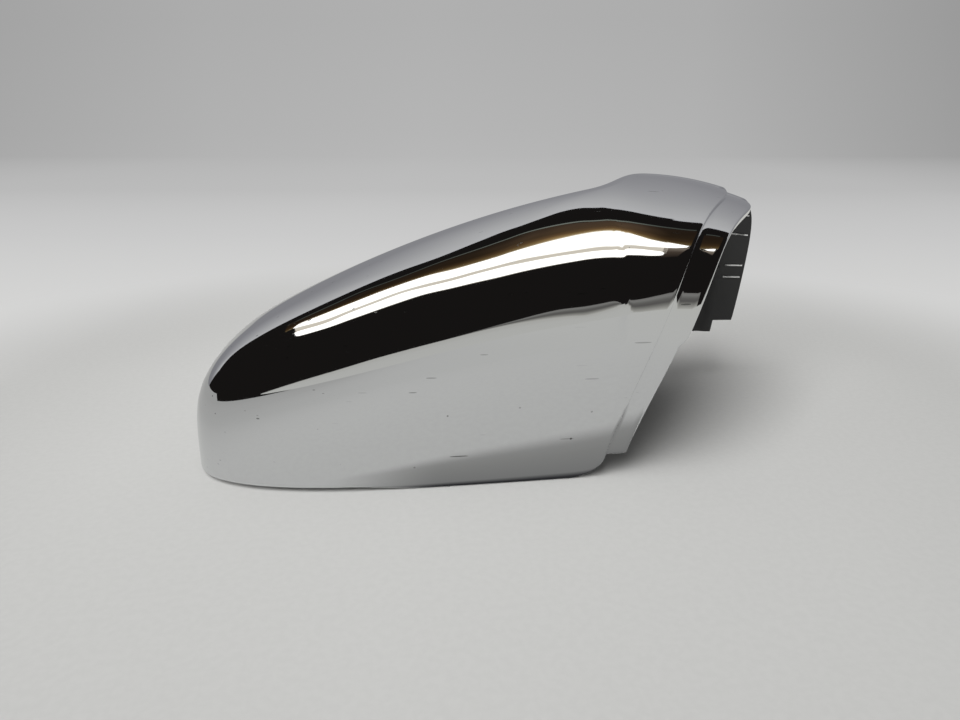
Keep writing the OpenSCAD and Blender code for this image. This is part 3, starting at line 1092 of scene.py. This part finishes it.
@dataclass(frozen=True)
class StagePlan:
    """Lines of the stage's cards, in metres in the photographer's frame.

    Overhead cards list x, near edge y and far edge y; upright ones list x, low z and high z. The
    tubes, the line, the backdrop and the panels were worked out by a program outside this file
    from points picked in the photograph, then rounded and partly adjusted.
    """

    overhead_z: float = 0.9
    front_y: float = -0.42
    back_y: float = 1.25
    rear_tube: tuple = (
        (-0.89, 0.5, 0.52), (-0.85, 0.46, 0.6), (-0.72, 0.325, 0.558), (-0.6, 0.305, 0.53),
        (-0.5, 0.29, 0.515), (-0.43, 0.288, 0.49), (-0.365, 0.25, 0.46), (-0.3, 0.192, 0.394),
        (-0.245, 0.173, 0.375), (-0.18, 0.15, 0.376), (-0.1, 0.131, 0.383), (-0.02, 0.104, 0.405),
        (0.06, 0.1, 0.435), (0.1, 0.12, 0.451), (0.2, 0.165, 0.444), (0.355, 0.158, 0.33),
        (0.55, 0.205, 0.322), (0.64, 0.26, 0.3),
    )
    front_tube: tuple = (
        (-0.89, 0.2, 0.24), (-0.87, 0.13, 0.33), (-0.72, 0.042, 0.225), (-0.6, 0.025, 0.242),
        (-0.49, 0.013, 0.237), (-0.41, 0.006, 0.235), (-0.355, 0.002, 0.184), (-0.29, -0.055, 0.133),
        (-0.235, -0.09, 0.119), (-0.167, -0.13, 0.096), (-0.09, -0.139, 0.066), (-0.01, -0.14, 0.053),
        (0.065, -0.13, 0.047), (0.1, -0.117, 0.057), (0.21, -0.055, 0.103), (0.37, -0.05, 0.09),
        (0.47, -0.02, 0.085), (0.5, 0.01, 0.06),
    )
    tray: tuple = (
        (-0.88, 0.2, 0.5), (-0.66, 0.1, 0.4), (-0.33, 0.06, 0.3), (0.0, 0.0, 0.2), (0.28, 0.03, 0.22),
        (0.42, 0.04, 0.22), (0.52, 0.05, 0.23),
    )
    tray_end: tuple = ((0.48, -0.06, 0.24), (0.55, -0.04, 0.25), (0.66, 0.02, 0.27))
    warm: tuple = (
        (-0.95, 0.5, 0.8), (-0.72, 0.53, 0.73), (-0.55, 0.5, 0.71), (-0.44, 0.47, 0.68), (-0.355, 0.44, 0.69),
        (-0.25, 0.36, 0.69), (-0.15, 0.36, 0.72), (0.0, 0.39, 0.69), (0.1, 0.43, 0.635),
        (0.2, 0.42, 0.63), (0.3, 0.35, 0.61), (0.43, 0.3, 0.615), (0.56, 0.3, 0.63), (0.7, 0.3, 0.63),
    )
    line: tuple = (
        (-0.95, 0.74, 0.79), (-0.72, 0.745, 0.785), (-0.6, 0.755, 0.785), (-0.46, 0.685, 0.71),
        (-0.355, 0.692, 0.718), (-0.254, 0.69, 0.717), (-0.147, 0.728, 0.757), (-0.006, 0.69, 0.722),
        (0.058, 0.672, 0.7), (0.107, 0.64, 0.667), (0.2, 0.635, 0.663), (0.305, 0.612, 0.638),
        (0.43, 0.618, 0.644), (0.517, 0.633, 0.66), (0.6, 0.635, 0.66),
    )
    backdrop: tuple = (
        (-2.4, 0.0, 0.5), (-1.87, 0.0, 0.68), (-1.665, 0.0, 0.9), (-1.55, 0.0, 1.04), (-1.34, 0.0, 1.125),
        (-1.18, 0.0, 1.15), (-0.95, 0.0, 1.17), (-0.767, 0.0, 1.215), (-0.69, 0.0, 1.27),
        (-0.575, 0.0, 1.36), (-0.37, 0.0, 1.22), (-0.25, 0.0, 1.1), (-0.1, 0.0, 1.045),
        (0.0, 0.0, 0.985), (0.085, 0.0, 1.02), (0.17, 0.0, 1.155), (0.33, 0.0, 1.28), (0.513, 0.0, 1.36),
        (0.69, 0.0, 1.384), (0.83, 0.0, 1.385), (0.94, 0.0, 1.455), (2.4, 0.0, 1.5),
    )
    pale_panel: tuple = (
        (-0.81, 0.0, 0.01), (-0.486, 0.0, 0.084), (-0.306, 0.0, 0.112), (-0.165, 0.0, 0.133),
        (-0.06, 0.0, 0.133), (-0.002, 0.0, 0.134), (0.066, 0.0, 0.124), (0.135, 0.0, 0.104),
        (0.17, 0.0, 0.084), (0.22, 0.0, 0.04), (0.3, 0.0, 0.002),
    )
    shade_panel: tuple = (
        (-0.06, 0.131, 0.133), (0.0, 0.132, 0.146), (0.057, 0.124, 0.167), (0.088, 0.116, 0.183),
        (0.122, 0.104, 0.192), (0.165, 0.082, 0.18), (0.22, 0.036, 0.167), (0.3, 0.0, 0.175),
        (0.44, 0.0, 0.214), (0.617, 0.0, 0.262), (0.9, 0.0, 0.28),
    )
    # Painted shadow that only mirrors see, under the overhanging front wall, in the form's millimetres: x,
    # front edge y, rear edge y
    painted_underside_shadow: tuple = (
        (40.0, -1.0, 0.6), (52.0, -5.5, 0.5), (66.0, -9.5, 0.5), (87.0, -14.0, 0.5), (110.0, -18.0, 0.5),
        (133.0, -21.5, 0.5), (150.0, -24.0, 0.5), (172.0, -27.0, 0.5),
    )


@dataclass
class Studio:
    """The floor, backdrop, lamp and camera. None of it belongs to the cover.

    Lengths are in metres, apart from shift, camera_at and under_gap_mm in the form's millimetres.
    """

    shift: np.ndarray
    plan: StagePlan
    yaw: float = 8.25
    pitch: float = 18.09
    focal_px: float = 721.0
    photo_w: int = 960
    camera_at: tuple[float, float, float] = (67.8, -227.2, 121.8)
    floor_half: float = 6.0
    floor_left: float = -0.5
    wall_y: float = 3.0
    background: str = "ababab"
    floor_colour: str = "cbcbc9"
    dark_room: str = "1a1817"
    ambient: float = 0.24
    fibre_scale: float = 420.0
    near_width: float = 0.5
    far_width: float = 4.2
    height_share: float = 6.0
    side_dimming: float = 0.8
    mirrored_dimming: float = 0.88
    fade_seen: tuple[float, float] = (0.22, 0.42)
    fade_mirrored: tuple[float, float] = (0.1, 0.2)
    wall_half: float = 5.0
    wall_h: float = 4.0
    side_near_y: float = 0.2
    side_far_y: float = 0.3
    under_gap_mm: float = 0.4
    tray_lift: float = 0.004
    tube_power: float = 2.2
    key_at: tuple[float, float, float] = (-0.7, -1.2, 1.8)
    key_aim: tuple[float, float, float] = (0.0, 0.3, 0.0)
    key_size: tuple[float, float] = (1.4, 2.0)
    key_watts: float = 78.0

    def place(self, x: float, y: float, z: float) -> tuple[float, float, float]:
        """Turn a point of the photographer's frame, in metres, into the part's frame.

        Args:
            x: distance to the photographer's right of the camera.
            y: distance ahead of the camera.
            z: height above the table.

        Returns:
            The same point in the part's frame.
        """
        turn = math.radians(-self.yaw)
        base = (np.array(self.camera_at) - self.shift) * MM
        return (
            base[0] + x * math.cos(turn) - y * math.sin(turn),
            base[1] + x * math.sin(turn) + y * math.cos(turn),
            z,
        )

    def camera(self) -> None:
        """Place the camera where the photograph was taken from."""
        data = bpy.data.cameras.new("camera")
        data.sensor_width = 36.0
        data.lens = data.sensor_width * self.focal_px / self.photo_w
        data.clip_start = 0.01
        camera = bpy.data.objects.new("camera", data)
        camera.location = self.place(0.0, 0.0, self.camera_at[2] * MM)
        camera.rotation_euler = (math.radians(90 - self.pitch), 0, math.radians(-self.yaw))
        bpy.context.scene.collection.objects.link(camera)
        bpy.context.scene.camera = camera

    def card(self, name: str, points: list, faces: list, material: bpy.types.Material) -> bpy.types.Object:
        """Make a flat stage card.

        Args:
            name: the card's name.
            points: its points in the part's frame.
            faces: its faces, as lists of point numbers.
            material: its material.

        Returns:
            The card.
        """
        mesh = bpy.data.meshes.new(name)
        mesh.from_pydata(points, [], faces)
        card = bpy.data.objects.new(name, mesh)
        bpy.context.scene.collection.objects.link(card)
        mesh.materials.append(material)
        return card

    def sheet(self, name: str, corners: list, material: bpy.types.Material) -> bpy.types.Object:
        """Make a card of one face from corners in the photographer's frame, on the table."""
        points = [self.place(x, y, 0.0) for x, y in corners]
        return self.card(name, points, [tuple(range(len(points)))], material)

    def ribbon(
        self, name: str, stations: tuple, at: Callable[[float, float], tuple], material: bpy.types.Material
    ) -> bpy.types.Object:
        """Make a card between two smooth edges that only mirrors see.

        Args:
            name: the card's name.
            stations: rows of x and the two edges.
            at: turns x and an edge value into a point of the part's frame.
            material: its material, which may read how far across the card a point is.

        Returns:
            The card.
        """
        rows = smooth_line(stations, 20 * len(stations))
        points = [at(row[0], edge) for row in rows for edge in (row[1], row[2])]
        faces = [(2 * i, 2 * i + 2, 2 * i + 3, 2 * i + 1) for i in range(len(rows) - 1)]
        card = self.card(name, points, faces, material)
        across = card.data.attributes.new("across", "FLOAT", "POINT")
        across.data.foreach_set("value", [0.0, 1.0] * len(rows))
        card.visible_camera = False
        card.visible_diffuse = False
        card.visible_shadow = False
        card.visible_transmission = False
        return card

    def glow(self, name: str, stops: tuple, strength: object = 1.0) -> bpy.types.Material:
        """Return a glowing material.

        Args:
            name: the material's name.
            stops: pairs of a share of the way across the card and a hex colour.

        Returns:
            The material.
        """
        kit = NodeKit(name)
        colour = kit.ramp(kit.across(), stops)
        power = strength(kit) if callable(strength) else strength
        return kit.finish(kit.glow(colour, power))

    def away(self, kit: NodeKit, spot: tuple[float, float], low: float, high: float) -> bpy.types.NodeSocket:
        """Return how far a point is from a spot of the overhead plane.

        Args:
            kit: the material's nodes.
            spot: the spot's x and y in the photographer's frame.
            low: the distance up to which the answer is 0.
            high: the distance from which it is 1.

        Returns:
            The answer's socket.
        """
        links = {0: kit.place(), 1: self.place(*spot, self.plan.overhead_z)}
        distance = kit.add("ShaderNodeVectorMath", links, operation="DISTANCE").outputs["Value"]
        return kit.spot(distance, low, high)

    def warm_power(self, kit: NodeKit) -> bpy.types.NodeSocket:
        """A strength that is highest over the shoulder and uneven."""
        near = kit.math("SUBTRACT", 1.0, self.away(kit, (0.1, 0.5), 0.1, 0.42))
        power = kit.math("ADD", 0.33, kit.math("MULTIPLY", near, 0.7))
        patch = kit.math("MULTIPLY", kit.noise(kit.place(), 7.0, 1.0), 0.8)
        return kit.math("MULTIPLY", power, kit.math("ADD", 0.6, patch))

    def warm_line(self, kit: NodeKit) -> bpy.types.NodeSocket:
        """A strength that is highest over the shoulder."""
        far = self.away(kit, (0.05, 0.68), 0.05, 0.5)
        return kit.math("SUBTRACT", 1.25, kit.math("MULTIPLY", far, 0.85))

    def soft_shade(self) -> bpy.types.Material:
        """A painted shadow: the dim floor under the overhanging wall, as mirrors see it, with a soft front
        edge.
        """
        kit = NodeKit("painted_underside_shadow")
        across = kit.across()
        colour = kit.ramp(
            across,
            ((0.0, "a4a4a2"), (0.5, "8f8f8d"), (0.87, "838382"), (0.94, "3a3a3c"), (1.0, "222224")),
        )
        clear = kit.add("ShaderNodeBsdfTransparent").outputs[0]
        along = kit.add("ShaderNodeSeparateXYZ", {0: kit.place()}).outputs[0]
        share = kit.math("MULTIPLY", kit.spot(across, 0.0, 0.36), kit.spot(along, -0.08, -0.03))
        mix = kit.add("ShaderNodeMixShader", {0: share, 1: clear, 2: kit.glow(colour)})
        return kit.finish(mix.outputs[0])

    def level(self, kit: NodeKit, place: bpy.types.NodeSocket) -> tuple:
        """Work out how bright the paper is at a place on the stage: painted light, brightest up to about 0.45
        m ahead of the camera and darker further back, higher up and to the sides.

        Args:
            kit: the material's nodes.
            place: the coordinates to read.

        Returns:
            Four sockets: the far paper's colour, the near paper's dimming to the sides, and the
            distances along the backdrop and toward it.
        """
        turn = math.radians(-self.yaw)
        links = {0: place, 1: self.place(0.0, 0.0, 0.0)}
        offset = kit.add("ShaderNodeVectorMath", links, operation="SUBTRACT").outputs[0]
        along = []
        for direction in ((math.cos(turn), math.sin(turn), 0.0), (-math.sin(turn), math.cos(turn), 0.0)):
            dot = kit.add("ShaderNodeVectorMath", {0: offset, 1: direction}, operation="DOT_PRODUCT")
            along.append(dot.outputs["Value"])
        # Painted shade: the near paper darkens to the sides
        near_sides = kit.ramp(
            kit.math("ADD", kit.math("MULTIPLY", along[0], 1 / self.near_width), 0.5),
            ((0.04, "e6e6e6"), (0.22, "f8f8f8"), (0.45, "ffffff"), (0.72, "fcfcfc"), (0.96, "ececec")),
        )
        far_sides = kit.ramp(
            kit.math("ADD", kit.math("DIVIDE", along[0], self.far_width), 0.5),
            ((0.04, "ececec"), (0.25, "fafafa"), (0.45, "ffffff"), (0.7, "fafafa"), (0.96, "dedede")),
        )
        height = kit.add("ShaderNodeSeparateXYZ", {0: place}).outputs[2]
        back = kit.math("ADD", along[1], kit.math("MULTIPLY", height, self.height_share))
        # Painted light pool: brightest up to about 0.45 m ahead of the camera, darker further back and higher
        # up
        middle = kit.ramp(
            kit.math("DIVIDE", back, 2 * self.wall_y),
            ((0.075, "d6d6d5"), (0.14, "cacaca"), (0.24, "bdbdbd"), (0.6, "b5b5b5"), (1.0, "b0b0b0")),
        )
        return kit.multiply(middle, far_sides), near_sides, along[0], along[1]

    def floor_material(self) -> bpy.types.Material:
        """Pale matt paper that fades into the background behind the cover.

        Its lit part has painted shade toward the camera and to the sides, its far part glows with a painted
        light pool, and mirrors see it dimmer and darker to the left.
        """
        kit = NodeKit("floor")
        place = kit.place()
        reach = kit.add("ShaderNodeVectorMath", {0: place}, operation="LENGTH").outputs["Value"]
        far_colour, sides, right, ahead = self.level(kit, place)
        fibre = kit.spot(kit.noise(place, self.fibre_scale, 3.0), 0.3, 0.7)
        grain = kit.blend(fibre, (0.97, 0.97, 0.97, 1.0), (1.0, 1.0, 1.0, 1.0))
        path = kit.add("ShaderNodeLightPath")
        glossy = path.outputs["Is Glossy Ray"]
        seen_share = kit.math("SUBTRACT", self.side_dimming, kit.math("MULTIPLY", glossy, self.side_dimming))
        dimmed = kit.blend(seen_share, (1.0,) * 4, sides)
        # Painted shade: the lit paper darkens toward the camera
        near = kit.ramp(kit.math("DIVIDE", ahead, 0.5), ((0.2, "e8e8e8"), (0.5, "f9f9f9"), (0.7, "ffffff")))
        lit = kit.blend(glossy, kit.multiply(dimmed, near), (*[self.mirrored_dimming] * 3, 1.0))
        paper_colour = kit.multiply(kit.multiply(lit, linear(self.floor_colour)), grain)
        paper = kit.add(
            "ShaderNodeBsdfPrincipled",
            {"Base Color": paper_colour, "Roughness": 0.85, "Specular IOR Level": 0.2},
        )
        # Painted shade: the far paper, as mirrors see it, darkens to the left
        mirrored = kit.ramp(
            kit.math("ADD", right, 0.5),
            (
                (0.1, "afafad"), (0.3, "b6b6b4"), (0.4, "c0c0be"), (0.47, "c6c6c4"), (0.6, "cbcbc8"),
                (1.0, "cbcbc6"),
            ),
        )
        far = kit.glow(kit.blend(glossy, far_colour, mirrored))
        fade = kit.blend(glossy, kit.spot(reach, *self.fade_seen), kit.spot(reach, *self.fade_mirrored))
        seen = kit.math("MAXIMUM", path.outputs["Is Camera Ray"], glossy)
        share = kit.math("MULTIPLY", fade, seen)
        mix = kit.add("ShaderNodeMixShader", {0: share, 1: paper.outputs[0], 2: far})
        return kit.finish(mix.outputs[0])

    def wall_material(self) -> bpy.types.Material:
        """The pale background far behind the cover, glowing with the same painted light pool as the far
        paper.
        """
        kit = NodeKit("wall")
        return kit.finish(kit.glow(self.level(kit, kit.place())[0]))

    def lamp(self, name: str, at: tuple, aim: tuple, size: tuple, watts: float) -> None:
        """Add a soft area lamp that neither the camera nor mirrors see.

        Args:
            name: the lamp's name.
            at: its place in the photographer's frame, in metres.
            aim: the point that it faces.
            size: its two sides, in metres.
            watts: its power.
        """
        data = bpy.data.lights.new(name, "AREA")
        data.shape = "RECTANGLE"
        data.size, data.size_y = size
        data.energy = watts
        lamp = bpy.data.objects.new(name, data)
        bpy.context.scene.collection.objects.link(lamp)
        place, target = Vector(self.place(*at)), Vector(self.place(*aim))
        lamp.location = place
        lamp.rotation_euler = (target - place).to_track_quat("-Z", "Y").to_euler()
        lamp.visible_camera = False
        lamp.visible_glossy = False

    def world(self) -> None:
        """Light the scene softly; mirrors see a dark room where no card stands."""
        world = bpy.data.worlds.new("studio")
        world.use_nodes = True
        tree = world.node_tree
        tree.nodes.clear()
        path = tree.nodes.new("ShaderNodeLightPath")
        shades = []
        for colour, strength in (("ffffff", self.ambient), (self.dark_room, 1.0), (self.background, 1.0)):
            shade = tree.nodes.new("ShaderNodeBackground")
            shade.inputs["Color"].default_value = linear(colour)
            shade.inputs["Strength"].default_value = strength
            shades.append(shade)
        mirrored = tree.nodes.new("ShaderNodeMixShader")
        seen = tree.nodes.new("ShaderNodeMixShader")
        out = tree.nodes.new("ShaderNodeOutputWorld")
        tree.links.new(path.outputs["Is Glossy Ray"], mirrored.inputs[0])
        tree.links.new(shades[0].outputs[0], mirrored.inputs[1])
        tree.links.new(shades[1].outputs[0], mirrored.inputs[2])
        tree.links.new(path.outputs["Is Camera Ray"], seen.inputs[0])
        tree.links.new(mirrored.outputs[0], seen.inputs[1])
        tree.links.new(shades[2].outputs[0], seen.inputs[2])
        tree.links.new(seen.outputs[0], out.inputs["Surface"])
        bpy.context.scene.world = world

    def floor(self) -> None:
        """Lay the floor: one sheet that mirrors see and two nearer ones that they don't."""
        half, front, left = self.floor_half, self.plan.front_y, self.floor_left
        inner, outer = (left, self.side_near_y), (-half, self.side_far_y)
        paper = self.floor_material()
        corners = [(left, front), (half, front), (half, half), (-half, half), outer, inner]
        self.sheet("floor", corners, paper)
        near = self.sheet("floor_near", [(-half, -half), (half, -half), (half, front), (-half, front)], paper)
        side = self.sheet("floor_side", [(-half, front), (left, front), inner, outer], paper)
        near.visible_glossy = False
        side.visible_glossy = False
        wide, high = self.wall_half, self.wall_h
        corners = [(-wide, 0.0), (wide, 0.0), (wide, high), (-wide, high)]
        points = [self.place(x, self.wall_y, z) for x, z in corners]
        wall = self.card("wall", points, [(0, 1, 2, 3)], self.wall_material())
        wall.visible_diffuse = wall.visible_glossy = wall.visible_shadow = False

    def mirrored_cards(self) -> None:
        """Hang the cards that give the chrome its bands of light and dark."""
        plan = self.plan

        def overhead(x: float, edge: float) -> tuple:
            """A point on the overhead plane."""
            return self.place(x, edge, plan.overhead_z)

        def upright(y: float) -> Callable[[float, float], tuple]:
            """A function that gives points on an upright plane at y."""
            return lambda x, edge: self.place(x, y, edge)

        def under(x: float, edge: float) -> tuple:
            """A point just above the floor, from the form's millimetres."""
            return tuple((np.array([x, edge, self.under_gap_mm]) - self.shift) * MM)

        rear_white = self.glow(
            "rear_tube",
            ((0.0, "a39c8e"), (0.1, "fffefa"), (0.86, "fffefa"), (0.95, "a89a80"), (1.0, "5a4a36")),
            self.tube_power,
        )
        front_white = self.glow(
            "front_tube",
            ((0.0, "3a3630"), (0.05, "8f8a80"), (0.13, "fffefa"), (0.92, "fffefa"), (1.0, "a39c8e")),
            self.tube_power,
        )
        cream = self.glow("tray", ((0.0, "f3ecdc"), (0.5, "e8dfcf"), (1.0, "f4efe2")))
        brown = self.glow("tray_end", ((0.0, "2a2420"), (0.5, "4d433a"), (0.8, "82786c"), (1.0, "8f8578")))
        grey = self.glow("grey_line", ((0.0, "5f6258"), (0.5, "7c8279"), (1.0, "4a4b49")), self.warm_line)
        warm = self.glow(
            "warm_card",
            ((0.0, "cbb58f"), (0.1, "a08355"), (0.24, "71573a"), (0.45, "52412f"), (1.0, "4a3c31")),
            self.warm_power,
        )
        pale = self.glow("pale_panel", ((0.0, "c8c8c4"), (0.6, "c6c6c2"), (1.0, "bebdb8")))
        shade = self.glow(
            "shade_panel",
            (
                (0.0, "bebdb8"), (0.12, "a5a49e"), (0.28, "84837e"), (0.45, "605e5c"), (0.62, "6a6966"),
                (0.85, "868582"), (1.0, "7c7a77"),
            ),
        )
        sky = self.glow(
            "backdrop",
            (
                (0.0, "87878b"), (0.2, "8e8e92"), (0.4, "a3a3a6"), (0.7, "bcbcbd"), (0.93, "c8c8c9"),
                (1.0, "cacacc"),
            ),
        )
        for name, stations, at, material in (
            ("rear_tube", plan.rear_tube, overhead, rear_white),
            ("front_tube", plan.front_tube, overhead, front_white),
            ("warm_card", plan.warm, overhead, warm),
            ("grey_line", plan.line, overhead, grey),
            ("backdrop", plan.backdrop, upright(plan.back_y), sky),
            ("pale_panel", plan.pale_panel, upright(plan.front_y), pale),
            ("shade_panel", plan.shade_panel, upright(plan.front_y), shade),
            ("painted_underside_shadow", plan.painted_underside_shadow, under, self.soft_shade()),
        ):
            self.ribbon(name, stations, at, material)
        for name, stations, material in (("tray", plan.tray, cream), ("tray_end", plan.tray_end, brown)):
            self.ribbon(name, stations, overhead, material).location.z += self.tray_lift

    def build(self) -> None:
        """Set up the whole studio."""
        self.camera()
        self.world()
        self.floor()
        self.mirrored_cards()
        self.lamp("key", self.key_at, self.key_aim, self.key_size, self.key_watts)
        bpy.context.scene.view_settings.view_transform = "Standard"


def main() -> None:
    """Build the cover around the frame and report each piece."""
    logging.basicConfig(level=logging.INFO, format="%(message)s")
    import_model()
    form = CoverForm()
    shell = Shell(form)
    shift = shell.middle()
    plate = ChromePlate().build()
    bare = BareAbs().build()
    # The fine flange ribs' pale colour is a painted highlight
    painted_highlight = PaintedHighlightAbs().build()
    add_piece(shell.build(shift, plate, bare), "cover_shell", plate, Slot.PLATE)
    Fastenings(form, FasteningSizes(), shift, bare, painted_highlight).build()
    Studio(shift, StagePlan()).build()


if __name__ == "__main__":
    main()
